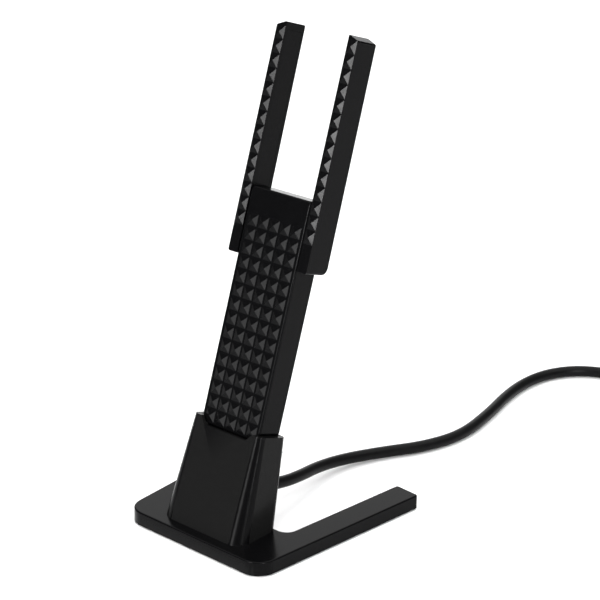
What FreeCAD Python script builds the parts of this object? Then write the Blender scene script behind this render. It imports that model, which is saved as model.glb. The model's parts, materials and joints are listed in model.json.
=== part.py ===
import FreeCAD, Part
import math
import os

# A wireless USB adapter with two flip-up antennas, standing in its desk cradle.
# Millimetres, +Z up, +Y to the back. The origin is on the standing surface, at the
# centre of the cradle's footprint box.

V = FreeCAD.Vector

# ---- cradle base: a flat U whose arms spread towards the back ----
base_depth = 84.0
base_front_half = 34.0
arm_splay = 0.079
arm_width = 11.1
bar_depth = 25.2
base_height = 6.0
base_front_radius = 8.0
base_inner_radius = 4.5
arm_end_radius = 1.2
base_edge_radius = 0.6
base_wall = 1.4
base_top_wall = 1.4
foot_edge = 0.2
foot_proud = 0.5
cover_thickness = 1.2
cover_clearance = 0.1
ballast_lift = 0.05
ballast_headroom = 0.45
ballast_gap = 0.5
foot_radius = 4.0
foot_recess = 0.4
foot_from_front = 19.0
foot_from_end = 18.5
wire_way_half = 5.0
wire_way_back = 18.0
wire_way_depth = 4.0

# ---- lean of the adapter and where its front lower edge stands ----
lean_deg = 18.0
seat_back = 21.6
seat_height = 44.1

# ---- adapter body: x across, d from its front face backwards, s up its length ----
body_width = 28.9
body_depth = 11.5
body_length = 86.85
neck_length = 3.4
neck_inset = 2.2
shell_wall = 1.2
front_wall = 1.6
lid_thickness = 1.8
lid_lip = 1.0
lid_lip_wall = 1.0
lip_plug_gap = 0.3
weld = 0.2
lid_clearance = 0.1
body_top_radius = 1.6
body_low_radius = 1.0
body_front_edge = 0.8
body_rear_edge = 0.8

# ---- pyramid studs ----
stud_pitch_x = 5.24
stud_pitch_s = 5.34
stud_side_margin = 1.2
stud_top_margin = 12.25
stud_height = 0.65
stud_groove = 0.85
stud_root = 0.3
antenna_stud_margin = 13.1
antenna_stud_width = 4.2
antenna_stud_height = 0.75
antenna_stud_groove = 0.35

# ---- antennas ----
antenna_gap = 0.3
antenna_thickness = 4.45
antenna_overlap = 25.8
antenna_depth_extra = 0.3
antenna_taper = 1.0
antenna_tip_drop = 1.8
antenna_wall = 0.9
antenna_front_wall = 1.4
antenna_rear_radius = 3.2
antenna_outer_radius = 0.9
antenna_inner_radius = 0.3
antenna_tip_radius = 0.8
antenna_tip_inner = 0.4
antenna_lid_margin = 1.8
antenna_lid_step = 0.5
radiator_thickness = 0.8
radiator_width = 5.6
radiator_start = 5.0
radiator_tip_gap = 6.0
feed_overlap = 3.0
feed_stub = 1.7

# ---- antenna hinges ----
pin_radius = 2.4
pin_bore = 1.0
pin_running_clearance = 0.05
pin_lid_clearance = 0.03
bush_wall = 1.1
bush_length = 3.2
washer_thickness = 0.4
washer_inset = 0.2
washer_clearance = 0.2
clip_gap = 0.35
clip_thickness = 0.7
clip_groove = 0.4
clip_width = 1.1
pin_end = 0.5
pin_head = 0.9
pin_head_thickness = 0.5
pin_head_room = 0.25
boss_wall = 1.4
coax_radius = 0.65
coax_turn_x = 4.4
coax_landing_x = 2.9
coax_landing_below = 5.0
coax_pin_gap = 0.3
coax_rise = 1.5
coax_edge_gap = 0.5

# ---- USB type A plug and receptacle ----
plug_width = 12.0
plug_thickness = 4.5
plug_length = 12.0
plug_wall = 0.3
plug_inside = 9.4
latch_window_width = 2.2
latch_window_length = 2.4
latch_window_place = 5.2
latch_window_half_gap = 2.5
tongue_thickness = 1.8
contact_thickness = 0.2
contact_width = 1.0
contact_places = (-3.5, -1.0, 1.0, 3.5)
contact_gap = 0.3
tongue_short = 0.4
contact_short = 1.0
contact_back = 2.0
contact_tail = 2.0
contact_leg = 1.0
socket_clearance = 0.25
socket_wall = 0.3
socket_base = 4.0
socket_tip_gap = 0.6
socket_tongue = 1.05
socket_tongue_short = 1.5
socket_contact_short = 2.0
socket_screw_half = 10.0
socket_screw_bite = 5.0
socket_boss_radius = 2.0
socket_board_half = 13.0
socket_board_half_depth = 5.5
socket_board_thickness = 1.6

# ---- adapter electronics ----
board_behind_plug = 0.55
board_thickness = 1.0
board_side_gap = 0.6
board_start = 7.0
board_boss_gap = 3.0
can_height = 3.0
can_wall = 0.2
can_width = 19.0
can_length = 26.0
can_start = 30.0
chip_size = 9.0
chip_height = 1.0
pad_gap = 0.05
board_notch_gap = 0.05
spreader_thickness = 0.6
memory_size = 5.0
memory_start = 18.0

# ---- cradle pillar ----
pillar_front_gap = 4.4
pillar_half_bottom = 20.2
pillar_rear_half_bottom = 19.6
pillar_top_side = 2.65
pillar_top_front = 2.3
pillar_top_rear = 1.2
pillar_front_radius = 5.5
pillar_top_radius = 2.8
pillar_rear_radius = 3.0
pillar_wall = 1.6
seat_gap = 0.4
seat_front_gap = 0.2
stud_clearance = 0.35
rim_below = 0.6
lip_drop = 2.9
lip_half = 10.3
lip_flare = 3.4
seat_floor = 1.5
rear_cover_half = 13.0
rear_cover_low = 3.0
rear_cover_high = 22.0
rear_cover_gap = 0.12

# ---- screws ----
screw_shank = 0.9
screw_head = 1.8
screw_head_height = 1.0
screw_bite = 4.0
boss_radius = 2.4
boss_clearance = 0.4
screw_hole_clearance = 0.2
screw_tip_gap = 0.4
pilot_extra = 1.0
base_screw_pocket = 0.6
base_screw_head = 0.5
base_screw_from_front = 9.5
base_screw_from_end = 9.0
pillar_screw_half = 12.0
pillar_screw_back = 9.5
pillar_boss_height = 6.0
pillar_rib_half = 0.6
pillar_rib_height = 4.0

# ---- lead ----
cord_diameter = 4.7
lead_straight = 8.5
cord_floor_gap = 0.05
relief_length = 15.0
relief_base_radius = 3.9
relief_height = 15.0
relief_flange = 1.2
relief_flange_lip = 1.0
relief_wall_gap = 0.1
relief_tip_wall = 0.5
relief_bore = 1.5
coil_centre = (46.0, 234.4)
coil_mean_radius = 26.0
coil_across = 3
coil_high = 2
coil_start_deg = -72.0
coil_end_deg = 20.0
tie_width = 7.0
tie_thickness = 0.8
tie_turn_deg = 100.0
tie_gap = 0.02
coil_corner = 1.6
lead_plug_width = 15.6
lead_plug_height = 7.8
lead_plug_length = 24.0
lead_plug_neck = 9.0
lead_plug_edge = 1.6
lead_plug_root = 8.0
lead_plug_neck_wall = 1.2

# ---- worked out from the above ----
front_y = -base_depth / 2
body_half = body_width / 2
cord_radius = cord_diameter / 2
cord_floor = cord_radius + cord_floor_gap
hinge_s = body_length - antenna_overlap / 2
hinge_d = body_depth / 2
bush_radius = pin_radius + pin_running_clearance + bush_wall
antenna_bottom = body_length - antenna_overlap
antenna_top = 2 * hinge_s
antenna_depth = body_depth + antenna_depth_extra
antenna_tip_depth = antenna_depth - antenna_taper
antenna_stud_first = antenna_bottom + antenna_stud_margin
antenna_stud_length = stud_pitch_s - antenna_stud_groove
antenna_stud_room = antenna_top - antenna_tip_drop - antenna_stud_length / 2 - antenna_stud_first
antenna_stud_rows = 1 + int(antenna_stud_room / stud_pitch_s)
stud_first_row = body_length - stud_top_margin
stud_rows = 1 + int((stud_first_row + stud_pitch_s / 4) / stud_pitch_s)
stud_columns = int((body_width - 2 * stud_side_margin) / stud_pitch_x)
plug_axis_d = body_depth / 2
board_front = plug_axis_d + board_behind_plug
board_end = hinge_s - bush_radius - boss_wall - board_boss_gap
seat = FreeCAD.Placement(V(0, front_y + seat_back, seat_height), FreeCAD.Rotation(V(1, 0, 0), -lean_deg))

pieces = {}


# ---------------------------------------------------------------- helpers
def box(x0, x1, y0, y1, z0, z1):
    """A block between two corners."""
    return Part.makeBox(x1 - x0, y1 - y0, z1 - z0, V(x0, y0, z0))


def rounded_wire(corners, place):
    """A closed outline of (u, v, radius) corners, put in space by place(u, v)."""
    arcs = []
    for i, (u, v, r) in enumerate(corners):
        here = V(u, v, 0)
        back = (V(corners[i - 1][0], corners[i - 1][1], 0) - here).normalize()
        following = corners[(i + 1) % len(corners)]
        ahead = (V(following[0], following[1], 0) - here).normalize()
        half = back.getAngle(ahead) / 2
        reach = r / math.tan(half)
        inward = (back + ahead).normalize()
        middle = here + inward * (r / math.sin(half) - r)
        arcs.append((here + back * reach, middle, here + ahead * reach, r))
    edges = []
    for i, (start, middle, end, r) in enumerate(arcs):
        if r > 0:
            a, b, c = [place(p.x, p.y) for p in (start, middle, end)]
            edges.append(Part.Arc(a, b, c).toShape())
        onward = arcs[(i + 1) % len(arcs)][0]
        if (onward - end).Length > 1e-6:
            edges.append(Part.LineSegment(place(end.x, end.y), place(onward.x, onward.y)).toShape())
    return Part.Wire(edges)


def slab(corners, z0, z1):
    """An outline in plan, raised from z0 to z1."""
    wire = rounded_wire(corners, lambda u, v: V(u, v, z0))
    return Part.Face(wire).extrude(V(0, 0, z1 - z0))


def front_slab(corners, d0, d1):
    """An outline in the front view (x, s), running from depth d0 to d1."""
    wire = rounded_wire(corners, lambda u, v: V(u, d0, v))
    return Part.Face(wire).extrude(V(0, d1 - d0, 0))


def side_slab(corners, x0, x1):
    """An outline in the side view (d, s), running from x0 to x1."""
    wire = rounded_wire(corners, lambda u, v: V(x0, u, v))
    return Part.Face(wire).extrude(V(x1 - x0, 0, 0))


def rod(radius, start, end):
    """A round rod between two points."""
    return Part.makeCylinder(radius, (end - start).Length, start, end - start)


def rectangle(half_x, y0, y1, r):
    """Four rounded corners of a rectangle centred on x = 0."""
    return [(-half_x, y0, r), (half_x, y0, r), (half_x, y1, r), (-half_x, y1, r)]


def leaned(shape):
    """The shape moved from the adapter's own axes to its place in the cradle."""
    moved = shape.copy()
    moved.Placement = seat.multiply(moved.Placement)
    return moved


def mirrored(shape):
    """The same shape on the other side of x = 0."""
    return shape.mirror(V(0, 0, 0), V(1, 0, 0))


def keep(name, shape):
    """Store a piece under its node name."""
    pieces[name] = shape.removeSplitter() if shape.ShapeType != "Compound" else shape


def group(shapes):
    """Separate solids that share one node."""
    return Part.makeCompound(shapes)


def tube(name, points, radius):
    """A tube along straight runs joined by arcs as large as the runs allow."""
    corners = []
    for before, here, after in zip(points, points[1:], points[2:]):
        back = before - here
        ahead = after - here
        half_turn = (math.pi - back.getAngle(ahead)) / 2
        reach = 0.45 * min(back.Length, ahead.Length)
        bend = reach / math.tan(half_turn)
        back.normalize()
        ahead.normalize()
        inward = (back + ahead).normalize()
        middle = here + inward * (math.hypot(reach, bend) - bend)
        corners.append((here + back * reach, middle, here + ahead * reach))
        print(name, "radius %.1f" % bend, "turn %.0f" % math.degrees(2 * half_turn))
    edges = []
    pen = points[0]
    for start, middle, end in corners:
        edges.append(Part.LineSegment(pen, start).toShape())
        edges.append(Part.Arc(start, middle, end).toShape())
        pen = end
    edges.append(Part.LineSegment(pen, points[-1]).toShape())
    path = Part.Wire(edges)
    section = Part.Wire([Part.Circle(points[0], points[1] - points[0], radius).toShape()])
    solid = path.makePipeShell([section], True, False)
    ratio = solid.Volume / (math.pi * radius ** 2 * path.Length)
    print(name, "length %.1f" % path.Length, "volume ratio %.4f" % ratio)
    return solid


def stud(x, s, width, length, height):
    """One four-sided pyramid standing out of the front face, with its foot rooted in the wall."""
    ring = []
    for depth in (0, stud_root):
        ring.append([V(x + a * width / 2, depth, s + b * length / 2)
                     for a, b in ((-1, -1), (1, -1), (1, 1), (-1, 1))])
    tip = V(x, -height, s)
    faces = [Part.Face(Part.makePolygon(ring[1] + [ring[1][0]]))]
    for i in range(4):
        j = (i + 1) % 4
        faces.append(Part.Face(Part.makePolygon([ring[0][i], ring[0][j], tip, ring[0][i]])))
        faces.append(Part.Face(Part.makePolygon([ring[0][i], ring[1][i], ring[1][j], ring[0][j], ring[0][i]])))
    return Part.makeSolid(Part.makeShell(faces))


# ---------------------------------------------------------------- cradle base
def base_outline(inset):
    """The U in plan, drawn in by inset all round."""
    slope = math.hypot(1, arm_splay)
    outer_front = base_front_half - inset * slope
    inner_front = base_front_half - (arm_width - inset) * slope
    start = front_y + inset
    back = base_depth / 2 - inset
    inner_back = inner_front + arm_splay * (back - front_y)
    outer_end = back - arm_splay * (arm_width - 2 * inset)
    outer_back = outer_front + arm_splay * (outer_end - front_y)
    bar_back = front_y + bar_depth - inset
    inner_bar = inner_front + arm_splay * (bar_back - front_y)
    front_r = base_front_radius - inset
    end_r = max(arm_end_radius - inset, 0.3)
    inner_r = base_inner_radius + inset
    right = [(outer_front + arm_splay * inset, start, front_r), (outer_back, outer_end, end_r),
             (inner_back, back, end_r), (inner_bar, bar_back, inner_r)]
    left = [(-x, y, r) for x, y, r in reversed(right)]
    return right + left


def arm_middle(y):
    """The x of the arm's centre line at y."""
    return base_front_half - arm_width / 2 + arm_splay * (y - front_y)


base_screw_rows = (front_y + base_screw_from_front, base_depth / 2 - base_screw_from_end)
base_screw_places = [(sx * arm_middle(y), y) for sx in (-1, 1) for y in base_screw_rows]
foot_places = {}
for row, foot_y in (("front", front_y + foot_from_front), ("back", base_depth / 2 - foot_from_end)):
    foot_places["foot_" + row + "_left"] = (-arm_middle(foot_y), foot_y)
    foot_places["foot_" + row + "_right"] = (arm_middle(foot_y), foot_y)
pillar_screw_y = front_y + pillar_front_gap + pillar_screw_back
pillar_screw_places = [(sx * pillar_screw_half, pillar_screw_y) for sx in (-1, 1)]
ceiling = base_height - base_top_wall
cover_top = foot_proud + cover_thickness
ballast_base = cover_top + ballast_lift
ballast_top = ceiling - ballast_headroom


def make_base():
    """Top shell, bottom cover, ballast plate, feet and the screws from below."""
    shell = slab(base_outline(0), foot_proud, base_height)
    rim = [e for e in shell.Edges if e.BoundBox.ZMin > base_height - 1e-4]
    shell = shell.makeFillet(base_edge_radius, rim)
    hollow = slab(base_outline(base_wall), foot_proud - 1, ceiling)
    shell = shell.cut(hollow)
    bosses = []
    holes = []
    for x, y in base_screw_places:
        bosses.append(rod(boss_radius, V(x, y, cover_top), V(x, y, ceiling + weld)))
        holes.append(rod(screw_shank, V(x, y, 0), V(x, y, ceiling)))
    for x, y in pillar_screw_places:
        holes.append(rod(screw_shank + screw_hole_clearance, V(x, y, 0), V(x, y, base_height + 1)))
    wire_y = front_y + wire_way_back
    wire_way = box(-wire_way_half, wire_way_half, wire_y, wire_y + wire_way_depth, ceiling - 1, base_height + 1)
    shell = shell.fuse(bosses).cut(holes + [wire_way])
    keep("base_top_shell", shell)

    cover = slab(base_outline(base_wall + cover_clearance), foot_proud, cover_top)
    cuts = []
    for x, y in base_screw_places:
        cuts.append(rod(screw_shank + screw_hole_clearance, V(x, y, 0), V(x, y, cover_top + 1)))
        cuts.append(rod(screw_head + screw_hole_clearance, V(x, y, 0), V(x, y, foot_proud + base_screw_pocket)))
    for x, y in foot_places.values():
        cuts.append(rod(foot_radius, V(x, y, 0), V(x, y, foot_proud + foot_recess)))
    keep("base_bottom_cover", cover.cut(cuts))

    plate = slab(base_outline(base_wall + ballast_gap), ballast_base, ballast_top)
    cuts = []
    for x, y in base_screw_places:
        cuts.append(rod(boss_radius + boss_clearance, V(x, y, 0), V(x, y, base_height)))
    for x, y in pillar_screw_places:
        cuts.append(rod(screw_head + boss_clearance, V(x, y, 0), V(x, y, base_height)))
    keep("ballast_plate", plate.cut(cuts))

    for name, (x, y) in foot_places.items():
        pad = rod(foot_radius, V(x, y, 0), V(x, y, foot_proud + foot_recess))
        keep(name, pad.makeFillet(foot_edge, [e for e in pad.Edges if e.BoundBox.ZMax < 1e-4]))

    screws = []
    for x, y in base_screw_places:
        top = foot_proud + base_screw_pocket
        head = rod(screw_head, V(x, y, top - base_screw_head), V(x, y, top))
        screws.append(head.fuse(rod(screw_shank, V(x, y, top), V(x, y, ceiling - screw_tip_gap))))
    keep("base_screws", group(screws))
    screws = []
    for x, y in pillar_screw_places:
        head = rod(screw_head, V(x, y, ceiling - screw_head_height), V(x, y, ceiling))
        screws.append(head.fuse(rod(screw_shank, V(x, y, ceiling), V(x, y, base_height + screw_bite))))
    keep("pillar_screws", group(screws))


# ---------------------------------------------------------------- cradle pillar
rim_s = -rim_below
neck_s = -neck_length
seat_s = neck_s - seat_gap
floor_s = seat_s - seat_floor
socket_back_s = neck_s - plug_length - socket_tip_gap
board_s = socket_back_s - socket_base


def pillar_loft(inset, top_s):
    """The pillar's outer form drawn in by inset, up to top_s."""
    y0 = front_y + pillar_front_gap + inset
    y1 = front_y + bar_depth - inset
    low = [(-pillar_half_bottom + inset, y0, pillar_front_radius - inset),
           (pillar_half_bottom - inset, y0, pillar_front_radius - inset),
           (pillar_rear_half_bottom - inset, y1, pillar_rear_radius - inset),
           (-pillar_rear_half_bottom + inset, y1, pillar_rear_radius - inset)]
    high = rectangle(body_half + pillar_top_side - inset, -pillar_top_front + inset,
                     body_depth + pillar_top_rear - inset, pillar_top_radius - inset)
    low_wire = rounded_wire(low, lambda u, v: V(u, v, base_height))
    high_wire = rounded_wire(high, lambda u, v: seat.multVec(V(u, v, rim_s)))
    form = Part.makeLoft([low_wire, high_wire], True, True)
    if top_s < rim_s:
        form = form.cut(leaned(box(-60, 60, -60, 60, top_s, top_s + 90)))
    return form


def neck_outline(grow, low, high):
    """The adapter's lower end in front view, grown by a clearance."""
    half = body_half + grow
    return [(-half + neck_inset, low, 0), (half - neck_inset, low, 0), (half, low + neck_length, 0),
            (half, high, 0), (-half, high, 0), (-half, low + neck_length, 0)]


def rear_normal():
    """Points on the pillar's rear face and the direction square to it."""
    low = V(0, front_y + bar_depth, base_height)
    high = seat.multVec(V(0, body_depth + pillar_top_rear, rim_s))
    along = (high - low).normalize()
    return low, along, V(0, along.z, -along.y)


def make_pillar():
    """Shell with the adapter's seat, rear cover, and the socket's board mounts."""
    outer = pillar_loft(0, rim_s)
    shell = outer.cut(pillar_loft(pillar_wall, floor_s))
    pocket = front_slab(neck_outline(seat_gap, seat_s, body_depth), -seat_front_gap, body_depth + seat_gap)
    way_half = (stud_columns * stud_pitch_x - stud_groove) / 2 + stud_clearance
    way_low = stud_first_row - (stud_rows - 0.5) * stud_pitch_s
    stud_way = box(-way_half, way_half, -stud_height - stud_clearance, 0, way_low, body_depth)
    notch = front_slab([(-lip_half, rim_s - lip_drop, 0), (lip_half, rim_s - lip_drop, 0),
                        (lip_half + lip_flare, rim_s + 1, 0), (-lip_half - lip_flare, rim_s + 1, 0)],
                       -20, 0)
    hole_x = plug_width / 2 + socket_clearance
    hole_d = plug_thickness / 2 + socket_clearance
    window = box(-hole_x, hole_x, plug_axis_d - hole_d, plug_axis_d + hole_d, floor_s - 1, seat_s + 1)
    bosses = []
    pilots = []
    for x in (-socket_screw_half, socket_screw_half):
        foot = V(x, plug_axis_d, board_s)
        bosses.append(rod(socket_boss_radius, foot, V(x, plug_axis_d, floor_s + 0.3)))
        pilots.append(rod(screw_shank, foot, V(x, plug_axis_d, board_s + socket_screw_bite + pilot_extra)))
    shell = shell.fuse([leaned(b) for b in bosses])
    shell = shell.cut([leaned(c) for c in [pocket, stud_way, notch, window] + pilots])
    inside_y = front_y + pillar_front_gap + pillar_wall / 2
    legs = []
    drill = []
    for x, y in pillar_screw_places:
        leg = rod(boss_radius, V(x, y, base_height), V(x, y, base_height + pillar_boss_height))
        rib = box(x - pillar_rib_half, x + pillar_rib_half, inside_y, y, base_height,
                  base_height + pillar_rib_height)
        legs.append(leg.fuse(rib).common(outer))
        drill.append(rod(screw_shank, V(x, y, base_height), V(x, y, base_height + screw_bite)))
    shell = shell.fuse(legs).cut(drill)

    low, along, out = rear_normal()
    cover = shell_wall_patch(outer, low, along, out, 0)
    shell = shell.cut(shell_wall_patch(outer, low, along, out, rear_cover_gap))
    exit_point, exit_way = lead_exit()
    cover = cover.cut(rod(relief_base_radius, exit_point - exit_way * 10, exit_point + exit_way * 5))
    keep("pillar_shell", shell)
    keep("pillar_rear_cover", cover)


def shell_wall_patch(outer, low, along, out, grow):
    """The stretch of rear wall that lifts off as a cover, grown by a clearance."""
    half = rear_cover_half + grow
    a = low + along * (rear_cover_low - grow)
    b = low + along * (rear_cover_high + grow)
    deep = out * (pillar_wall + 0.02 + grow)
    corners = [a - deep, b - deep, b + out * 4, a + out * 4, a - deep]
    wire = Part.makePolygon([c - V(half, 0, 0) for c in corners])
    block = Part.Face(wire).extrude(V(2 * half, 0, 0))
    return block.common(outer) if grow == 0 else block


def lead_exit():
    """Where the lead's axis meets the pillar's rear face, and its direction there."""
    low, along, out = rear_normal()
    point = low + along * ((relief_height - base_height) / along.z)
    return point, out


def make_socket():
    """Receptacle for the adapter's plug, on a small board with its screws."""
    outer_x = plug_width / 2 + socket_clearance + socket_wall
    outer_d = plug_thickness / 2 + socket_clearance + socket_wall
    c = plug_axis_d
    can = box(-outer_x, outer_x, c - outer_d, c + outer_d, board_s, floor_s)
    inner = box(-outer_x + socket_wall, outer_x - socket_wall, c - outer_d + socket_wall,
                c + outer_d - socket_wall, board_s - 1, floor_s + 1)
    keep("socket_shell", leaned(can.cut(inner)))
    block = box(-outer_x + socket_wall, outer_x - socket_wall, c - outer_d + socket_wall,
                c + outer_d - socket_wall, board_s, socket_back_s)
    tongue_d0 = c - plug_thickness / 2 + plug_wall + contact_gap
    tongue_half = plug_width / 2 - plug_wall - contact_gap
    tongue = box(-tongue_half, tongue_half, tongue_d0, tongue_d0 + socket_tongue, socket_back_s - 1,
                 floor_s - socket_tongue_short)
    keep("socket_insulator", leaned(block.fuse(tongue)))
    strips = []
    d0 = tongue_d0 + socket_tongue
    for x in contact_places:
        strips.append(leaned(box(x - contact_width / 2, x + contact_width / 2, d0, d0 + contact_thickness,
                                 socket_back_s, floor_s - socket_contact_short)))
    keep("socket_contacts", group(strips))
    under_s = board_s - socket_board_thickness
    board = box(-socket_board_half, socket_board_half, c - socket_board_half_depth, c + socket_board_half_depth,
                under_s, board_s)
    holes = []
    screws = []
    for x in (-socket_screw_half, socket_screw_half):
        holes.append(rod(screw_shank + screw_hole_clearance, V(x, c, under_s - 1), V(x, c, board_s + 1)))
        head = rod(screw_head, V(x, c, under_s - screw_head_height), V(x, c, under_s))
        shank = rod(screw_shank, V(x, c, under_s), V(x, c, board_s + socket_screw_bite))
        screws.append(leaned(head.fuse(shank)))
    keep("socket_board", leaned(board.cut(holes)))
    keep("socket_board_screws", group(screws))


# ---------------------------------------------------------------- lead
def ring_point(degrees, radius, z):
    """A point of the coil."""
    a = math.radians(degrees)
    return V(coil_centre[0] + radius * math.cos(a), coil_centre[1] + radius * math.sin(a), z)


def ring_way(degrees):
    """The direction in which the coil is wound at that angle."""
    a = math.radians(degrees)
    return V(-math.sin(a), math.cos(a), 0)


def make_lead():
    """Strain relief, lead, put-away coil, tie and the computer-end plug."""
    start, way = lead_exit()
    cone = Part.makeCone(relief_base_radius, cord_radius + relief_tip_wall, relief_length, start, way)
    inside = start - way * (pillar_wall + relief_wall_gap)
    flange = rod(relief_base_radius + relief_flange_lip, inside - way * relief_flange, inside)
    stem = rod(relief_base_radius, inside, start)
    wire_bore = rod(relief_bore, start - way * 8, start + way * 0.5)
    keep("lead_strain_relief", cone.fuse([stem, flange]).cut(wire_bore))

    tip = start + way * relief_length
    z = cord_floor
    coil_outer = coil_mean_radius + (coil_across - 1) / 2 * cord_diameter
    landing = ring_point(coil_start_deg, coil_outer, z)
    points = [tip, tip + way * lead_straight, V(-1.5, 20.0, 5.6), V(-4.6, 34.5, z), V(-3.8, 50.0, z), V(2.2, 67.0, z),
              V(11.5, 83.0, z), V(15.8, 102.0, z), V(11.4, 126.0, z), V(5.4, 148.0, z), V(3.3, 165.5, z),
              V(5.8, 180.0, z), V(13.5, 191.5, z), V(26.5, 198.0, z), V(41.0, 200.2, z), landing]
    keep("lead_tube", tube("lead_tube", points, cord_radius))

    half = coil_across * cord_diameter / 2
    low = cord_floor_gap
    high = low + coil_high * cord_diameter
    inner = coil_mean_radius - half
    outer = coil_mean_radius + half
    section = rounded_wire([(inner, low, coil_corner), (outer, low, coil_corner), (outer, high, coil_corner),
                            (inner, high, coil_corner)], lambda u, v: V(coil_centre[0] + u, coil_centre[1], v))
    centre = V(coil_centre[0], coil_centre[1], 0)
    coil = Part.Face(section).revolve(centre, V(0, 0, 1), 360)
    keep("lead_coil", coil)

    at = centre + V(coil_mean_radius, 0, 0)
    inner_half = half + tie_gap
    loop = box(at.x - inner_half - tie_thickness, at.x + inner_half + tie_thickness, at.y - tie_width / 2,
               at.y + tie_width / 2, low, high + tie_gap + tie_thickness)
    loop = loop.cut(box(at.x - inner_half, at.x + inner_half, at.y - tie_width, at.y + tie_width,
                        low - 1, high + tie_gap))
    loop.rotate(centre, V(0, 0, 1), tie_turn_deg)
    keep("lead_tie", loop.cut(coil))

    top_z = low + cord_diameter * (coil_high - 0.5)
    leave = ring_point(coil_end_deg, coil_outer, top_z)
    plug_z = lead_plug_height / 2
    points = [leave, leave + ring_way(coil_end_deg) * 10.0, V(64.0, 266.0, 5.4), V(53.5, 274.4, plug_z),
              V(45.0, 277.6, plug_z)]
    keep("lead_tail", tube("lead_tail", points, cord_radius))
    make_lead_plug(points[-1], (points[-1] - points[-2]).normalize())


def latch_windows(middle, tip, back):
    """Cutters for a plug shell's four latch windows: back points from the tip to the cord."""
    cutters = []
    for x in (-latch_window_half_gap, latch_window_half_gap):
        far = middle + V(x, 0, 0)
        ends = sorted((tip + back * latch_window_place, tip + back * (latch_window_place + latch_window_length)))
        cutters.append(box(far.x - latch_window_width / 2, far.x + latch_window_width / 2,
                           middle.y - plug_thickness, middle.y + plug_thickness, ends[0], ends[1]))
    return cutters


def make_lead_plug(entry, way):
    """Overmould, shell, insulator and contacts of the computer-end plug, built up z and laid along way."""
    side = V(way.y, -way.x, 0)
    place = FreeCAD.Placement(entry, FreeCAD.Rotation(side, V(0, 0, -1), way, "ZXY"))
    w = lead_plug_width / 2
    h = lead_plug_height / 2
    neck = Part.makeCone(cord_radius + relief_tip_wall, cord_radius + lead_plug_neck_wall, lead_plug_neck)
    end = lead_plug_neck + lead_plug_length
    root = end - lead_plug_root
    tip = end + plug_length
    x = plug_width / 2
    y = plug_thickness / 2
    block = box(-w, w, -h, h, lead_plug_neck, end)
    long_edges = [e for e in block.Edges if abs(e.BoundBox.ZLength - lead_plug_length) < 1e-4]
    grip = block.makeFillet(lead_plug_edge, long_edges).fuse(neck).cut(box(-x, x, -y, y, root, end + 1))
    inner_x = x - plug_wall
    inner_y = y - plug_wall
    hollow = box(-inner_x, inner_x, -inner_y, inner_y, root + plug_wall, tip + 1)
    shell = box(-x, x, -y, y, root, tip).cut([hollow] + latch_windows(V(0, 0, 0), tip, -1))
    tongue_y = inner_y - tongue_thickness
    tongue = box(-inner_x, inner_x, tongue_y, inner_y, root + plug_wall, tip - tongue_short)
    strips = []
    for strip_x in contact_places:
        strips.append(box(strip_x - contact_width / 2, strip_x + contact_width / 2, tongue_y - contact_thickness,
                          tongue_y, root + contact_back, tip - contact_short))
    for name, shape in (("lead_plug_overmould", grip), ("lead_plug_shell", shell),
                        ("lead_plug_insulator", tongue), ("lead_plug_contacts", group(strips))):
        moved = shape.copy()
        moved.Placement = place.multiply(moved.Placement)
        keep(name, moved)


# ---------------------------------------------------------------- adapter
def body_outline(inset):
    """The adapter body in front view, drawn in by inset."""
    half = body_half - inset
    low = neck_s + inset
    top = body_length - inset
    r = max(body_top_radius - inset, 0.3)
    low_r = max(body_low_radius - inset, 0.3)
    return [(-half + neck_inset, low, low_r), (half - neck_inset, low, low_r), (half, low + neck_length, low_r),
            (half, top, r), (-half, top, r), (-half, low + neck_length, low_r)]


def plug_window(grow, s0, s1):
    """Room for the plug's shell through a wall."""
    x = plug_width / 2 + grow
    d = plug_thickness / 2 + grow
    return box(-x, x, plug_axis_d - d, plug_axis_d + d, s0, s1)


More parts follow.
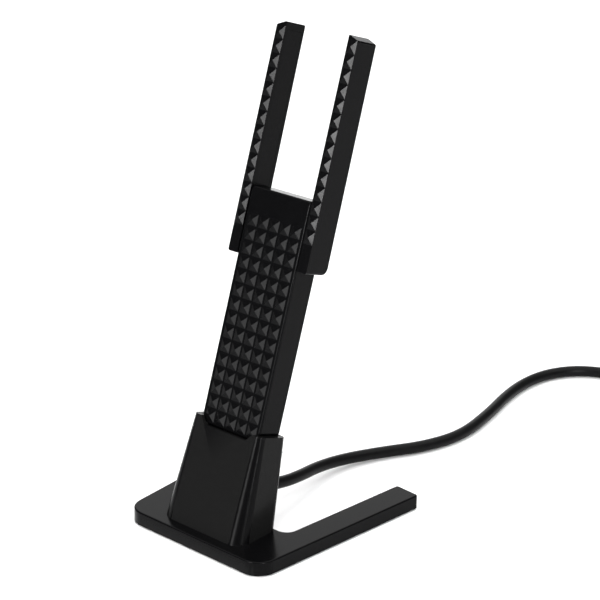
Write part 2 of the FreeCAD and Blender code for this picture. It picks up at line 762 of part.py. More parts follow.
def make_adapter_shells():
    """Front shell with the stud field and hinge bosses, and the rear cover."""
    split = body_depth - lid_thickness
    shell = front_slab(body_outline(0), 0, split)
    shell = shell.makeFillet(body_front_edge, [e for e in shell.Edges if e.BoundBox.YMax < 1e-4])
    shell = shell.cut(front_slab(body_outline(shell_wall), front_wall, split + 1))
    studs = []
    for row in range(stud_rows):
        for column in range(stud_columns):
            x = (column - (stud_columns - 1) / 2) * stud_pitch_x
            s = stud_first_row - row * stud_pitch_s
            studs.append(stud(x, s, stud_pitch_x - stud_groove, stud_pitch_s - stud_groove, stud_height))
    shell = shell.fuse(studs)
    wall_x = body_half - shell_wall
    bosses = []
    holes = []
    for side in (-1, 1):
        x0, x1 = sorted((side * (wall_x - bush_length), side * (wall_x + weld)))
        bosses.append(box(x0, x1, front_wall - weld, split - lid_lip - 0.1, hinge_s - bush_radius - boss_wall,
                          hinge_s + bush_radius + boss_wall))
        inner = V(side * (wall_x - bush_length - 1), hinge_d, hinge_s)
        holes.append(rod(bush_radius, inner, V(side * wall_x, hinge_d, hinge_s)))
        holes.append(rod(pin_radius + washer_clearance, inner, V(side * (body_half + 1), hinge_d, hinge_s)))
    shell = shell.fuse(bosses).cut(holes + [plug_window(0.0, neck_s - 1, neck_s + shell_wall + 1)])
    keep("adapter_front_shell", leaned(shell))

    lid = front_slab(body_outline(0), split, body_depth)
    rear = [e for e in lid.Edges if e.BoundBox.YMin > body_depth - 1e-4]
    lid = lid.makeFillet(body_rear_edge, rear)
    inset = shell_wall + lid_clearance
    lip = front_slab(body_outline(inset), split - lid_lip, split + weld)
    lip = lip.cut(front_slab(body_outline(inset + lid_lip_wall), split - lid_lip - 1, split + 1))
    clear = bush_radius + boss_wall + lid_lip
    lip = lip.cut([box(-body_width, body_width, 0, body_depth, hinge_s - clear, hinge_s + clear),
                   plug_window(lip_plug_gap, neck_s - 1, board_start)])
    way = rod(bush_radius + lid_clearance, V(-wall_x, hinge_d, hinge_s), V(wall_x, hinge_d, hinge_s))
    keep("adapter_rear_cover", leaned(lid.fuse(lip).cut(way)))


def make_adapter_plug():
    """The plug that stands out of the adapter's lower end."""
    tip = neck_s - plug_length
    back = neck_s + plug_inside
    shell = plug_window(0, tip, back).cut(plug_window(-plug_wall, tip - 1, back + 1))
    shell = shell.cut(latch_windows(V(0, plug_axis_d, 0), tip, 1))
    keep("adapter_plug_shell", leaned(shell))
    half = plug_width / 2 - plug_wall
    tongue_back = plug_axis_d + plug_thickness / 2 - plug_wall
    tongue_front = tongue_back - tongue_thickness
    keep("adapter_plug_insulator", leaned(box(-half, half, tongue_front, tongue_back, tip + tongue_short, back)))
    strips = []
    d0 = tongue_front - contact_thickness
    end_s = board_start + contact_tail
    for x in contact_places:
        x0 = x - contact_width / 2
        x1 = x + contact_width / 2
        strip = box(x0, x1, d0, tongue_front, tip + contact_short, end_s)
        leg = box(x0, x1, d0, board_front, end_s - contact_leg, end_s)
        strips.append(leaned(strip.fuse(leg)))
    keep("adapter_plug_contacts", group(strips))


def centred_box(width, d0, d1, s0, s1):
    """A leaned block centred across the adapter."""
    return leaned(box(-width / 2, width / 2, d0, d1, s0, s1))


def make_adapter_board():
    """Board, shielding can, chips and the pad that carries the heat to a spreader."""
    half = body_half - shell_wall - board_side_gap
    notch = plug_window(board_notch_gap, neck_s, neck_s + plug_inside + board_notch_gap)
    board = box(-half, half, board_front, board_front + board_thickness, board_start, board_end)
    keep("main_board", leaned(board.cut(notch)))
    front = board_front - can_height
    can_end = can_start + can_length
    inside = can_width / 2 - can_wall
    can = box(-can_width / 2, can_width / 2, front, board_front, can_start, can_end)
    hollow = box(-inside, inside, front + can_wall, board_front + 1, can_start + can_wall, can_end - can_wall)
    keep("shielding_can", leaned(can.cut(hollow)))
    chip_s0 = can_start + (can_length - chip_size) / 2
    chip_s1 = chip_s0 + chip_size
    chip_d = board_front - chip_height
    keep("wireless_chip", centred_box(chip_size, chip_d, board_front, chip_s0, chip_s1))
    keep("thermal_pad", centred_box(chip_size, front + can_wall + pad_gap, chip_d, chip_s0, chip_s1))
    keep("memory_chip", centred_box(memory_size, chip_d, board_front, memory_start, memory_start + memory_size))
    keep("heat_spreader", centred_box(can_width, front - spreader_thickness, front, can_start, can_end))


def antenna_form(inner_x, outer_x):
    """The antenna's outer form: slanted tip, rounded foot, a little shallower at the tip."""
    form = front_slab([(inner_x, antenna_bottom, antenna_inner_radius),
                       (outer_x, antenna_bottom, antenna_outer_radius),
                       (outer_x, antenna_top - antenna_tip_drop, antenna_tip_radius),
                       (inner_x, antenna_top, antenna_tip_inner)],
                      0, antenna_depth)
    profile = side_slab([(0, antenna_bottom, antenna_inner_radius),
                         (antenna_depth, antenna_bottom, antenna_rear_radius),
                         (antenna_tip_depth, antenna_top, antenna_outer_radius),
                         (0, antenna_top, antenna_inner_radius)],
                        inner_x - 1, outer_x + 1)
    return form.common(profile)


def make_hinge_side(side):
    """One antenna with its hinge: made on the right and mirrored for the left."""
    flip = leaned if side == "right" else (lambda s: leaned(mirrored(s)))
    wall_x = body_half - shell_wall
    bush_x = wall_x - bush_length
    bore = pin_radius + pin_running_clearance

    def ring(r_out, r_in, x0, x1):
        """A washer or sleeve on the hinge axis."""
        a = V(x0, hinge_d, hinge_s)
        b = V(x1, hinge_d, hinge_s)
        return rod(r_out, a, b).cut(rod(r_in, a - V(1, 0, 0), b + V(1, 0, 0)))

    keep(side + "_hinge_bush", flip(ring(bush_radius, bore, bush_x, wall_x)))
    keep(side + "_friction_washer",
         flip(ring(bush_radius - washer_inset, pin_radius + washer_clearance, bush_x - washer_thickness, bush_x)))
    clip_x = bush_x - washer_thickness - clip_gap - clip_thickness
    groove_r = pin_radius - clip_groove
    keep(side + "_retaining_clip", flip(ring(groove_r + clip_width, groove_r, clip_x, clip_x + clip_thickness)))

    inner_x = body_half + antenna_gap
    lid_x = inner_x + antenna_wall
    outer_x = inner_x + antenna_thickness
    pin_x = clip_x - pin_end
    pin = ring(pin_radius, pin_bore, pin_x, lid_x)
    pin = pin.cut(ring(pin_radius + 1, groove_r, clip_x, clip_x + clip_thickness))
    pin = pin.fuse(ring(pin_radius + pin_head, pin_bore, lid_x, lid_x + pin_head_thickness))
    keep(side + "_hinge_pin", flip(pin))

    d0 = antenna_front_wall
    d1 = hinge_d + pin_radius + pin_head + pin_head_room
    s0 = antenna_bottom + antenna_lid_margin
    s1 = antenna_top - antenna_tip_drop - antenna_lid_margin
    step = antenna_lid_step
    cavity = box(inner_x - 1, outer_x - antenna_wall, d0, d1, s0, s1)
    rebate = box(inner_x - 1, lid_x, d0 - step, d1 + step, s0 - step, s1 + step)
    case = antenna_form(inner_x, outer_x).cut([cavity, rebate])
    studs = []
    for row in range(antenna_stud_rows):
        studs.append(stud((inner_x + outer_x) / 2, antenna_stud_first + row * stud_pitch_s, antenna_stud_width,
                          antenna_stud_length, antenna_stud_height))
    keep(side + "_antenna_case", flip(case.fuse(studs)))
    edge = step - lid_clearance
    lid = box(inner_x, lid_x, d0 - edge, d1 + edge, s0 - edge, s1 + edge)
    lid_hole = pin_radius + pin_lid_clearance
    lid = lid.cut(rod(lid_hole, V(inner_x - 1, hinge_d, hinge_s), V(lid_x + 1, hinge_d, hinge_s)))
    keep(side + "_antenna_lid", flip(lid))
    rad_x = outer_x - antenna_wall - radiator_thickness
    rad_s = hinge_s + radiator_start
    keep(side + "_radiator", flip(box(rad_x, rad_x + radiator_thickness, hinge_d - radiator_width / 2,
                                      hinge_d + radiator_width / 2, rad_s, s1 - radiator_tip_gap)))

    leave = pin_x - coax_pin_gap
    landing = V(coax_landing_x, board_front - coax_radius, board_end - coax_landing_below)
    coax = tube(side + "_coax", [V(leave, hinge_d, hinge_s), V(coax_turn_x, hinge_d, hinge_s),
                                 V(coax_landing_x, board_front - coax_rise, board_end - coax_edge_gap), landing],
                coax_radius)
    keep(side + "_coax_lead", flip(coax))
    feed_x = rad_x - coax_radius
    feed = tube(side + "_feed", [V(feed_x - feed_stub, hinge_d, hinge_s), V(feed_x, hinge_d, hinge_s),
                                 V(feed_x, hinge_d, rad_s + feed_overlap)], coax_radius)
    keep(side + "_antenna_feed", flip(feed))


make_base()
make_pillar()
make_socket()
make_lead()
make_adapter_shells()
make_adapter_plug()
make_adapter_board()
for side_name in ("left", "right"):
    make_hinge_side(side_name)

os.makedirs("parts", exist_ok=True)
for node, piece in pieces.items():
    piece.exportStep("parts/" + node + ".step")
print(len(pieces), "nodes")
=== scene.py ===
import json
import math

import bmesh
import bpy
from mathutils import Matrix, Vector

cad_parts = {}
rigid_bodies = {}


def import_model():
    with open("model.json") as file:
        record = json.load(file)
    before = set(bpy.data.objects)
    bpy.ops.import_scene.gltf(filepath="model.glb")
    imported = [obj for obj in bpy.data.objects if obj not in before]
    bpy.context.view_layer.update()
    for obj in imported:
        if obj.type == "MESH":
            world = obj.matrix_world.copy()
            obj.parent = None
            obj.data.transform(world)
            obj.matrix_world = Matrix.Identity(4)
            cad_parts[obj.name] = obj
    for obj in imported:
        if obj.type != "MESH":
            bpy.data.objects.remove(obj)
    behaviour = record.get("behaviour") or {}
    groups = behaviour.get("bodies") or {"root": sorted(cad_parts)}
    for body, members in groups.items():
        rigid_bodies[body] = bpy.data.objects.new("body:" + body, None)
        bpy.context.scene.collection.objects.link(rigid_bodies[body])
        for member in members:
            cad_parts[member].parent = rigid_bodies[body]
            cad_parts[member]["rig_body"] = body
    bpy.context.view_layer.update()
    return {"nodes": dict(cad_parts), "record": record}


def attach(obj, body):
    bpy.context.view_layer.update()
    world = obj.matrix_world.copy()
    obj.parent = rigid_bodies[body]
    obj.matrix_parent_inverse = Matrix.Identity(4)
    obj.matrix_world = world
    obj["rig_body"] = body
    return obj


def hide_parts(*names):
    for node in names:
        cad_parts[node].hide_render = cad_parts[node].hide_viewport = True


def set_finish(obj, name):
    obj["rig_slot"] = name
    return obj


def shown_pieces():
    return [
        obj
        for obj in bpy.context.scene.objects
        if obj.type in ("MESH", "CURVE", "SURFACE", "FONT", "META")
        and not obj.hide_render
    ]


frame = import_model()
nodes = frame["nodes"]
MM = 0.001

# ---- camera: at the photograph's angle ----
CAMERA_TURN = math.radians(43.15)
CAMERA_TILT = math.radians(20.54)
CAMERA_DISTANCE = 0.7095
CAMERA_TARGET = Vector((0.0, -0.0164, 0.1024))
CAMERA_LENS = 118.6
CAMERA_SHIFT = (0.1028, -0.0467)

# ---- the adapter's front plane, which the studs stand on ----
FRONT_POINT = Vector((0.0, -20.4, 44.1)) * MM
FRONT_LEAN = math.radians(18.0)

# ---- lead, in millimetres: the route is the model's, with three points near the pillar moved a little ----
CORD_WIDTH = 4.7
CORD_DIAMETER = CORD_WIDTH * MM
CORD_Z = 2.4
RELIEF_TIP = (0.0, 0.0, 11.4)
ROUTE = [RELIEF_TIP, (0.0, 8.3, 9.4), (-1.2, 20.0, 7.6), (-4.2, 34.5, 5.4), (-3.8, 50.0, 3.4),
         (2.2, 67.0, CORD_Z), (11.5, 83.0, CORD_Z), (15.8, 102.0, CORD_Z), (11.4, 126.0, CORD_Z),
         (5.4, 148.0, CORD_Z), (3.3, 165.5, CORD_Z), (5.8, 180.0, CORD_Z), (13.5, 191.5, CORD_Z),
         (26.5, 198.0, CORD_Z), (41.0, 200.2, CORD_Z)]
TAIL = [(64.0, 266.0, 5.4), (53.5, 274.4, 3.9), (45.0, 277.6, 3.9)]
RELIEF_LENGTH = 15.0
RELIEF_BASE = 3.9
RELIEF_END = 2.85
RELIEF_RIBS = 6
RELIEF_GROOVE = 0.55
RELIEF_COLLAR = 1.6
RELIEF_LIP = 0.4
RELIEF_LIP_DROP = 0.15
FLANGE_RADIUS = 4.9
FLANGE_BACK = -2.9
FLANGE_FRONT = -1.7
FLANGE_STEP = 0.05
PLUG_HALF_WIDTH = 7.8
PLUG_HALF_HEIGHT = 3.9
PLUG_CORNER = 1.6
PLUG_NECK = 2.85
PLUG_NECK_FLARE = 0.08
GRIP_FIRST = 13.5
GRIP_PITCH = 2.1
GRIP_GROOVES = 5
GRIP_FLOOR = (7.4, 3.5, 1.4)
COIL_CENTRE = (46.0, 234.4)
COIL_MEAN = 26.0
COIL_STEP = CORD_WIDTH
COIL_START = -72.0
COIL_END = 20.0
COIL_TURNS = 5
POINTS_PER_TURN = 24


def new_mesh_object(name, bm):
    """A mesh object made from a bmesh."""
    mesh = bpy.data.meshes.new(name)
    bm.to_mesh(mesh)
    bm.free()
    obj = bpy.data.objects.new(name, mesh)
    bpy.context.scene.collection.objects.link(obj)
    return obj


# ---------------------------------------------------------------- camera
def make_camera():
    """The scene's camera, aimed by its turn about Z and its tilt."""
    data = bpy.data.cameras.new("camera")
    data.lens = CAMERA_LENS
    data.sensor_width = 36.0
    data.shift_x, data.shift_y = CAMERA_SHIFT
    data.clip_start = 0.02
    data.clip_end = 30.0
    cam = bpy.data.objects.new("camera", data)
    bpy.context.scene.collection.objects.link(cam)
    back = Vector((math.sin(CAMERA_TURN) * math.cos(CAMERA_TILT),
                   -math.cos(CAMERA_TURN) * math.cos(CAMERA_TILT), math.sin(CAMERA_TILT)))
    cam.location = CAMERA_TARGET + back * CAMERA_DISTANCE
    cam.rotation_mode = "QUATERNION"
    cam.rotation_quaternion = (-back).to_track_quat("-Z", "Y")
    bpy.context.scene.camera = cam


# ---------------------------------------------------------------- materials
class Nodes:
    """A material's node tree with a few shorthand calls."""

    def __init__(self, name):
        self.material = bpy.data.materials.new(name)
        self.material.use_nodes = True
        self.tree = self.material.node_tree
        self.shader = self.tree.nodes["Principled BSDF"]
        self.place = self.add("ShaderNodeTexCoord").outputs["Object"]

    def add(self, kind, **settings):
        node = self.tree.nodes.new(kind)
        for key, value in settings.items():
            setattr(node, key, value)
        return node

    def link(self, source, target):
        self.tree.links.new(source, target)

    def noise(self, scale, detail=3.0, rough=0.55, stretch=None):
        """Noise over the piece, scale in features per metre."""
        node = self.add("ShaderNodeTexNoise")
        node.inputs["Scale"].default_value = scale
        node.inputs["Detail"].default_value = detail
        node.inputs["Roughness"].default_value = rough
        source = self.place
        if stretch:
            mapping = self.add("ShaderNodeMapping")
            mapping.inputs["Scale"].default_value = stretch
            self.link(source, mapping.inputs["Vector"])
            source = mapping.outputs["Vector"]
        self.link(source, node.inputs["Vector"])
        return node.outputs["Fac"]

    def span(self, source, low, high, start=0.0, end=1.0):
        """Map a value from start..end to low..high."""
        node = self.add("ShaderNodeMapRange")
        node.inputs["From Min"].default_value = start
        node.inputs["From Max"].default_value = end
        node.inputs["To Min"].default_value = low
        node.inputs["To Max"].default_value = high
        self.link(source, node.inputs["Value"])
        return node.outputs["Result"]

    def ramp(self, source, stops):
        """A colour ramp with (place, colour) stops."""
        node = self.add("ShaderNodeValToRGB")
        ends = node.color_ramp.elements
        while len(ends) < len(stops):
            ends.new(0.5)
        for element, (position, colour) in zip(ends, stops):
            element.position = position
            element.color = (*colour, 1.0)
        self.link(source, node.inputs["Fac"])
        return node.outputs["Color"]

    def mix(self, factor, a, b):
        """Mix two colours, each a socket or a colour."""
        node = self.add("ShaderNodeMix", data_type="RGBA")
        self.link(factor, node.inputs["Factor"])
        for value, socket in ((a, node.inputs[6]), (b, node.inputs[7])):
            if isinstance(value, tuple):
                socket.default_value = (*value, 1.0)
            else:
                self.link(value, socket)
        return node.outputs[2]

    def bump(self, height, strength, distance):
        """Bump from a height, distance in metres."""
        node = self.add("ShaderNodeBump")
        node.inputs["Strength"].default_value = strength
        node.inputs["Distance"].default_value = distance
        self.link(height, node.inputs["Height"])
        self.link(node.outputs["Normal"], self.shader.inputs["Normal"])

    def edges(self, low=0.52, high=0.62):
        """One on outward edges, zero elsewhere."""
        source = self.add("ShaderNodeNewGeometry").outputs["Pointiness"]
        return self.span(source, 0.0, 1.0, low, high)


def plastic(name, colour, worn, rough, spread, grain, depth, ior=1.47):
    """Moulded plastic: fine spark-eroded grain, uneven gloss, edges rubbed to the worn colour."""
    n = Nodes(name)
    broad = n.noise(90.0, 4.0)
    dark = tuple(c * 0.82 for c in colour)
    body = n.mix(n.span(broad, 0.0, 1.0, 0.3, 0.7), dark, colour)
    n.link(n.mix(n.edges(), body, worn), n.shader.inputs["Base Color"])
    gloss = n.span(n.noise(420.0, 5.0), rough - spread, rough + spread, 0.3, 0.7)
    n.link(gloss, n.shader.inputs["Roughness"])
    n.shader.inputs["IOR"].default_value = ior
    n.bump(n.noise(grain, 2.0), 0.35, depth)
    return n.material


def metal(name, colour, rough, stretch=None, grain=900.0):
    """Bare or plated metal with faint drawn or rolled marks."""
    n = Nodes(name)
    marks = n.noise(grain, 4.0, stretch=stretch)
    dark = tuple(c * 0.8 for c in colour)
    n.link(n.mix(n.span(marks, 0.0, 1.0, 0.3, 0.7), dark, colour), n.shader.inputs["Base Color"])
    n.link(n.span(marks, rough * 0.7, rough * 1.4, 0.3, 0.7), n.shader.inputs["Roughness"])
    n.shader.inputs["Metallic"].default_value = 1.0
    n.bump(marks, 0.15, 0.00002)
    return n.material


def board_material():
    """Solder mask with copper tracks showing faintly through it."""
    n = Nodes("circuit_board_mask")
    brick = n.add("ShaderNodeTexBrick", offset=0.5)
    brick.inputs["Scale"].default_value = 260.0
    brick.inputs["Mortar Size"].default_value = 0.06
    brick.inputs["Color1"].default_value = (0.01, 0.11, 0.045, 1.0)
    brick.inputs["Color2"].default_value = (0.012, 0.14, 0.055, 1.0)
    brick.inputs["Mortar"].default_value = (0.03, 0.24, 0.09, 1.0)
    n.link(n.place, brick.inputs["Vector"])
    n.link(brick.outputs["Color"], n.shader.inputs["Base Color"])
    n.link(n.span(n.noise(700.0), 0.25, 0.42, 0.3, 0.7), n.shader.inputs["Roughness"])
    n.bump(brick.outputs["Fac"], 0.2, 0.00004)
    return n.material


def jacket_material(name, colour, rough):
    """Extruded soft PVC: slightly waxy, with a faint lay of the wires inside."""
    n = Nodes(name)
    lay = n.noise(260.0, 3.0)
    dark = tuple(c * 0.75 for c in colour)
    n.link(n.mix(n.span(lay, 0.0, 1.0, 0.3, 0.7), dark, colour), n.shader.inputs["Base Color"])
    n.link(n.span(n.noise(900.0, 4.0), rough - 0.06, rough + 0.08, 0.3, 0.7), n.shader.inputs["Roughness"])
    n.shader.inputs["IOR"].default_value = PVC_IOR
    n.bump(n.noise(2600.0, 2.0), 0.3, 0.00003)
    return n.material


def woven_material():
    """Woven nylon tape."""
    n = Nodes("woven_tie")
    wave = n.add("ShaderNodeTexWave", wave_type="BANDS", bands_direction="DIAGONAL")
    wave.inputs["Scale"].default_value = 900.0
    wave.inputs["Distortion"].default_value = 1.5
    n.link(n.place, wave.inputs["Vector"])
    n.link(n.ramp(wave.outputs["Fac"], [(0.2, (0.012, 0.012, 0.013)), (0.9, (0.05, 0.05, 0.052))]),
           n.shader.inputs["Base Color"])
    n.link(n.span(wave.outputs["Fac"], 0.9, 0.7), n.shader.inputs["Roughness"])
    n.bump(wave.outputs["Fac"], 0.6, 0.0001)
    return n.material


SATIN_BLACK = (0.0022, 0.0022, 0.0024)
SATIN_IOR = 1.12
PVC_BLACK = (0.004, 0.004, 0.0042)
PVC_IOR = 1.15


def make_materials():
    """Every material, by the record's slot name."""
    return {
        "adapter_plastic": plastic("black_satin_body", SATIN_BLACK, SATIN_BLACK, 0.18, 0.03, 5200.0,
                                   0.000003, SATIN_IOR),
        "antenna_plastic": plastic("black_satin_antenna", SATIN_BLACK, SATIN_BLACK, 0.18, 0.03, 5200.0,
                                   0.000003, SATIN_IOR),
        "cradle_plastic": plastic("black_satin_cradle", (0.0020, 0.0020, 0.0022), (0.006, 0.006, 0.006),
                                  0.20, 0.03, 4600.0, 0.000003, SATIN_IOR),
        "foot_rubber": plastic("foot_rubber_black", (0.02, 0.02, 0.02), (0.03, 0.03, 0.03), 0.75, 0.08,
                               1800.0, 0.00004),
        "insulator_plastic": plastic("blue_insulator", (0.015, 0.09, 0.36), (0.03, 0.14, 0.45), 0.38, 0.05,
                                     3000.0, 0.00001),
        "chip_plastic": plastic("chip_epoxy", (0.02, 0.02, 0.022), (0.05, 0.05, 0.05), 0.6, 0.08, 7000.0,
                                0.00001),
        "thermal_pad": plastic("gap_pad", (0.24, 0.29, 0.38), (0.3, 0.34, 0.42), 0.7, 0.08, 2200.0,
                               0.00003),
        "coax_jacket": plastic("coax_black", (0.03, 0.03, 0.03), (0.05, 0.05, 0.05), 0.45, 0.06, 3000.0,
                               0.00001),
        "nickel_plate": metal("nickel_plated_shell", (0.72, 0.70, 0.67), 0.22, (1.0, 1.0, 0.12)),
        "gold_contacts": metal("gold_contact", (0.92, 0.66, 0.24), 0.2),
        "zinc_steel": metal("zinc_steel_grey", (0.55, 0.56, 0.58), 0.38),
        "brass": metal("turned_brass", (0.76, 0.58, 0.27), 0.27, (0.1, 1.0, 1.0)),
        "spring_steel": metal("spring_steel_dark", (0.5, 0.5, 0.52), 0.3),
        "aluminium": metal("rolled_aluminium", (0.78, 0.78, 0.79), 0.34, (0.1, 1.0, 1.0)),
        "circuit_board": board_material(),
        "lead_jacket": jacket_material("lead_pvc", PVC_BLACK, 0.34),
        "lead_moulding": jacket_material("moulded_pvc", PVC_BLACK, 0.40),
        "tie_nylon": woven_material(),
    }


# ---------------------------------------------------------------- lead
def smooth_step(t):
    """Zero before 0, one after 1, and an even rise between."""
    t = min(max(t, 0.0), 1.0)
    return t * t * (3 - 2 * t)


def coil_points():
    """The put-away turns: two steps in, one up, two steps out, each within a short arc."""
    sweep = COIL_END - COIL_START + 360.0 * COIL_TURNS
    count = int(sweep / 360.0 * POINTS_PER_TURN)
    rise, inward, outward = 0.90, 0.96, 0.84
    width = 0.06
    points = []
    for i in range(1, count + 1):
        turn = i / count * sweep / 360.0
        across = 1.0
        for k in (0, 1):
            across -= smooth_step((turn - k - inward + width / 2) / width)
        for k in (3, 4):
            across += smooth_step((turn - k - outward + width / 2) / width)
        up = smooth_step((turn - 2 - rise + width / 2) / width)
        angle = math.radians(COIL_START + turn * 360.0)
        radius = COIL_MEAN + across * COIL_STEP
        points.append((COIL_CENTRE[0] + radius * math.cos(angle), COIL_CENTRE[1] + radius * math.sin(angle),
                       CORD_Z + up * COIL_STEP))
    return points


def make_cord():
    """One curve from the strain relief through the coil to the plug."""
    start = math.radians(COIL_START)
    radius = COIL_MEAN + COIL_STEP
    landing = (COIL_CENTRE[0] + radius * math.cos(start), COIL_CENTRE[1] + radius * math.sin(start), CORD_Z)
    points = ROUTE + [landing] + coil_points() + TAIL
    curve = bpy.data.curves.new("lead", "CURVE")
    curve.dimensions = "3D"
    curve.bevel_depth = 1.0  # each point's radius sets the thickness, which keeps the curve's own box true
    curve.bevel_resolution = 6
    curve.use_fill_caps = True
    spline = curve.splines.new("NURBS")
    spline.points.add(len(points) - 1)
    for point, place in zip(spline.points, points):
        point.co = (*[c * MM for c in place], 1.0)
        point.radius = CORD_DIAMETER / 2
    spline.order_u = 3
    spline.use_endpoint_u = True
    spline.resolution_u = 8
    lead = bpy.data.objects.new("lead", curve)
    bpy.context.scene.collection.objects.link(lead)
    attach(lead, "cradle")
    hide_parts("lead_tube", "lead_coil", "lead_tail")
    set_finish(lead, "lead_jacket")
    on_lead = [nodes[n] for n in ("lead_tie", "lead_plug_shell", "lead_plug_insulator", "lead_plug_contacts")]
    [make_overmould()] + on_lead


def ringed_form(name, place, sections, count=48):
    """A closed form through rounded sections along x: (x, half width, half height, corner radius)."""
    bm = bmesh.new()
    rings = []
    for x, width, height, corner in sections:
        ring = []
        for i in range(count):
            c = math.cos(math.tau * (i + 0.5) / count)
            s = math.sin(math.tau * (i + 0.5) / count)
            point = Vector((x, math.copysign(width - corner, c) + corner * c,
                            math.copysign(height - corner, s) + corner * s))
            ring.append(bm.verts.new(place @ (point * MM)))
        rings.append(ring)
    for low, high in zip(rings, rings[1:]):
        for i in range(count):
            j = (i + 1) % count
            bm.faces.new((low[i], low[j], high[j], high[i]))
    bm.faces.new(rings[0][::-1])
    bm.faces.new(rings[-1])
    bmesh.ops.recalc_face_normals(bm, faces=bm.faces)
    for edge in bm.edges:
        edge.smooth = edge.calc_face_angle(0.0) < math.radians(50)
    for face in bm.faces:
        face.smooth = len(face.verts) == 4
    return new_mesh_object(name, bm)


def along(start, way):
    """The matrix that takes x along way from start, in millimetres, with z kept upwards."""
    x_axis = Vector(way).normalized()
    y_axis = Vector((0, 0, 1)).cross(x_axis).normalized()
    turned = Matrix((x_axis, y_axis, x_axis.cross(y_axis))).transposed().to_4x4()
    return Matrix.Translation(Vector(start) * MM) @ turned


def round_section(x, radius):
    """A round section for ringed_form."""
    return (x, radius, radius, radius)


def ribs(start, end, count, radius_at, depth):
    """Round sections with count grooves between start and end."""
    pitch = (end - start) / count
    sections = []
    for i in range(count):
        for share, sink in ((0.0, 0.0), (0.46, 0.0), (0.58, depth), (0.88, depth)):
            x = start + (i + share) * pitch
            sections.append(round_section(x, radius_at(x) - sink))
    return sections


def make_strain_relief():
    """The ringed, tapered boot where the lead leaves the pillar."""
    way = Vector(ROUTE[1]) - Vector(RELIEF_TIP)

    def radius(x):
        """The boot's radius at a distance from its base."""
        return RELIEF_BASE + (RELIEF_END - RELIEF_BASE) * x / RELIEF_LENGTH

    sections = [round_section(FLANGE_BACK, FLANGE_RADIUS), round_section(FLANGE_FRONT, FLANGE_RADIUS),
                round_section(FLANGE_FRONT + FLANGE_STEP, RELIEF_BASE)]
    sections += ribs(0.0, RELIEF_LENGTH - RELIEF_COLLAR, RELIEF_RIBS, radius, RELIEF_GROOVE)
    sections += [round_section(RELIEF_LENGTH - RELIEF_COLLAR, RELIEF_END),
                 round_section(RELIEF_LENGTH - RELIEF_LIP, RELIEF_END),
                 round_section(RELIEF_LENGTH, RELIEF_END - RELIEF_LIP_DROP)]
    start = Vector(RELIEF_TIP) - way.normalized() * RELIEF_LENGTH
    boot = ringed_form("strain_relief_ringed", along(start, way), sections)
    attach(boot, "cradle")
    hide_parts("lead_strain_relief")
    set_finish(boot, "lead_moulding")


def make_overmould():
    """The moulded grip of the computer-end plug, with a ringed neck and grip grooves."""
    entry = Vector(TAIL[-1])
    way = entry - Vector(TAIL[-2])
    full = (PLUG_HALF_WIDTH, PLUG_HALF_HEIGHT, PLUG_CORNER)
    sections = [round_section(0.0, 2.6), round_section(0.3, PLUG_NECK)]
    sections += ribs(0.8, 8.0, 4, lambda x: PLUG_NECK + PLUG_NECK_FLARE * x, 0.45)
    sections += [round_section(8.2, 3.5), (8.8, 3.5, 3.3, 3.2), (9.2, 5.6, 3.5, 2.6), (10.0, 7.0, 3.75, 1.9),
                 (11.4, *full)]
    for i in range(GRIP_GROOVES):
        x = GRIP_FIRST + GRIP_PITCH * i
        sections += [(x, *full), (x + 0.25, *GRIP_FLOOR), (x + 0.95, *GRIP_FLOOR), (x + 1.2, *full)]
    sections += [(31.9, *full), (32.6, 7.6, 3.7, 1.5), (33.0, 7.1, 3.2, 1.2)]
    grip = ringed_form("plug_overmould_ribbed", along(entry, way), sections, 64)
    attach(grip, "cradle")
    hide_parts("lead_plug_overmould")
    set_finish(grip, "lead_moulding")
    return grip


# ---------------------------------------------------------------- finer meshes of the moulded pieces
STUDDED = ("adapter_front_shell", "left_antenna_case", "right_antenna_case")
STUD_EDGE = math.radians(13.0)
SHARP_EDGE = math.radians(32.0)
FRONT_MARGIN = 0.01 * MM
LID_MARGIN = 0.2 * MM
FLAT_ANGLE = math.radians(0.4)
WELD_DISTANCE = 1e-7
EDGE_SEGMENTS = 3
SLOTS = {s["node"]: s["material_slot"] for s in frame["record"]["subparts"]}
REFINED = {
    "base_top_shell": 0.25, "base_bottom_cover": 0.15, "pillar_shell": 0.22, "pillar_rear_cover": 0.15,
    "adapter_front_shell": 0.10, "adapter_rear_cover": 0.18,
    "left_antenna_case": 0.10, "right_antenna_case": 0.10,
}


def face_width(face):
    """Roughly how wide a face is across its longest edge."""
    return face.calc_area() / max(edge.calc_length() for edge in face.edges)


def in_adapter(point):
    """A point in the adapter's own axes: across, back from its front plane, and up its length."""
    back = Vector((0.0, math.cos(FRONT_LEAN), -math.sin(FRONT_LEAN)))
    up = Vector((0.0, math.sin(FRONT_LEAN), math.cos(FRONT_LEAN)))
    away = point - FRONT_POINT
    return Vector((away.x, away.dot(back), away.dot(up)))


def on_front(edge):
    """Whether an edge lies on the studded front plane or stands out of it."""
    return all(in_adapter(vert.co).y < FRONT_MARGIN for vert in edge.verts)


def around_lid(node):
    """A test for edges that border the lid of an antenna case, where the joint stays tight."""
    lid = nodes[node.replace("_case", "_lid")]
    places = [in_adapter(vert.co) for vert in lid.data.vertices]
    low = [min(place[i] for place in places) - LID_MARGIN for i in range(3)]
    high = [max(place[i] for place in places) + LID_MARGIN for i in range(3)]

    def inside(edge):
        return all(low[i] < in_adapter(vert.co)[i] < high[i] for vert in edge.verts for i in range(3))

    return inside


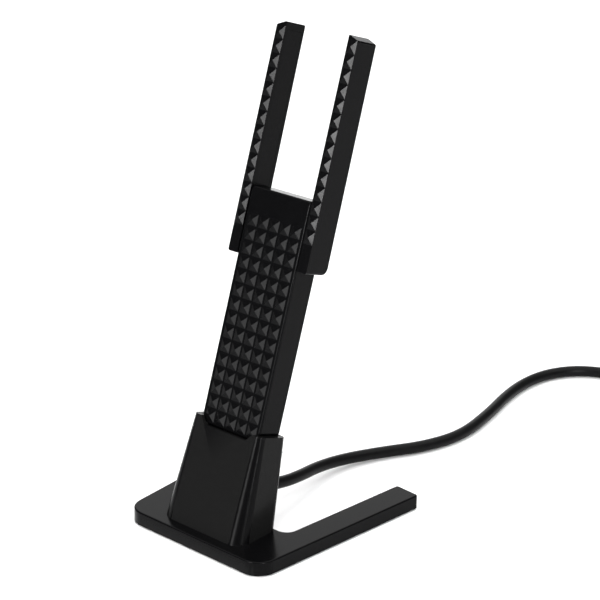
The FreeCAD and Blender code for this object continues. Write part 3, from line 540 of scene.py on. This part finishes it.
def refined(node, width):
    """A copy of a CAD piece with its flats merged and its real edges rounded a little."""
    source = nodes[node]
    bm = bmesh.new()
    bm.from_mesh(source.data)
    bmesh.ops.remove_doubles(bm, verts=bm.verts, dist=WELD_DISTANCE)
    bmesh.ops.dissolve_limit(bm, angle_limit=FLAT_ANGLE, verts=bm.verts, edges=bm.edges)
    weight = bm.edges.layers.float.new("bevel_weight_edge")
    studded = node in STUDDED
    tight = around_lid(node) if node.endswith("_case") else lambda edge: False
    for edge in bm.edges:
        angle = edge.calc_face_angle(0.0)
        limit = STUD_EDGE if studded and on_front(edge) else SHARP_EDGE
        wide = min(face_width(face) for face in edge.link_faces) > 2.0 * width
        if angle > limit and wide and not tight(edge):
            edge[weight] = 1.0
        elif angle > limit:
            edge.smooth = False
    for face in bm.faces:
        face.smooth = not (studded and all(in_adapter(v.co).y < FRONT_MARGIN for v in face.verts))
    obj = new_mesh_object(node + "_fine", bm)
    bevel = obj.modifiers.new("edges", "BEVEL")
    bevel.width = width
    bevel.segments = EDGE_SEGMENTS
    bevel.limit_method = "WEIGHT"
    bevel.face_strength_mode = "FSTR_ALL"
    normals = obj.modifiers.new("normals", "WEIGHTED_NORMAL")
    normals.keep_sharp = True
    normals.use_face_influence = True
    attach(obj, source["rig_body"])
    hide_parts(node)
    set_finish(obj, SLOTS[node])


# ---------------------------------------------------------------- floor and light
FLOOR_HALF = 6.0
FLOOR_GAP = 0.0002
WORLD_STRENGTH = 0.12


def make_stage():
    """A plain pale floor."""
    bm = bmesh.new()
    bmesh.ops.create_grid(bm, x_segments=1, y_segments=1, size=FLOOR_HALF)
    floor = new_mesh_object("floor", bm)
    floor.location.z = -FLOOR_GAP
    n = Nodes("floor_white")
    n.link(n.mix(n.noise(3.0), (0.86, 0.86, 0.86), (0.88, 0.88, 0.88)), n.shader.inputs["Base Color"])
    n.shader.inputs["Roughness"].default_value = 0.9
    floor.data.materials.append(n.material)


def soft_light(name, size, power, place, aim, size_y=None):
    """A rectangular soft light looking at a point."""
    data = bpy.data.lights.new(name, "AREA")
    data.shape = "RECTANGLE"
    data.size = size
    data.size_y = size_y or size
    data.energy = power
    lamp = bpy.data.objects.new(name, data)
    bpy.context.scene.collection.objects.link(lamp)
    lamp.location = place
    lamp.rotation_mode = "QUATERNION"
    lamp.rotation_quaternion = (Vector(aim) - Vector(place)).to_track_quat("-Z", "Y")


def make_lights():
    """Overhead softness, two low front softboxes, a strip to the right and a card behind on the left."""
    soft_light("overhead", 5.0, 228.0, (0.0, 0.3, 3.0), (0.0, 0.3, 0.0))
    soft_light("front_box", 0.30, 4.6, (-0.16, -1.2, 0.24), (0.0, 0.0, 0.1), 0.36)
    soft_light("front_strip", 0.14, 12.0, (0.03, -1.2, 0.50), (0.0, 0.0, 0.14), 0.28)
    soft_light("right_strip", 0.16, 18.0, (1.2, -0.55, 0.55), (0.0, 0.0, 0.08), 0.9)
    soft_light("back_card", 2.0, 26.0, (-1.9, 2.05, 1.35), (0.0, 0.0, 0.0))
    world = bpy.data.worlds.new("studio")
    bpy.context.scene.world = world
    world.use_nodes = True
    background = world.node_tree.nodes["Background"]
    background.inputs["Color"].default_value = (1.0, 1.0, 1.0, 1.0)
    background.inputs["Strength"].default_value = WORLD_STRENGTH
    bpy.context.scene.view_settings.view_transform = "Standard"


# ---------------------------------------------------------------- assembly
make_camera()
make_cord()
make_strain_relief()
materials = make_materials()
for node_name, bevel_mm in REFINED.items():
    refined(node_name, bevel_mm * MM)
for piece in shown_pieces():
    slot_name = piece.get("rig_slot") or SLOTS.get(piece.name)
    piece.data.materials.clear()
    piece.data.materials.append(materials[slot_name])
make_stage()
make_lights()

bpy.context.view_layer.update()
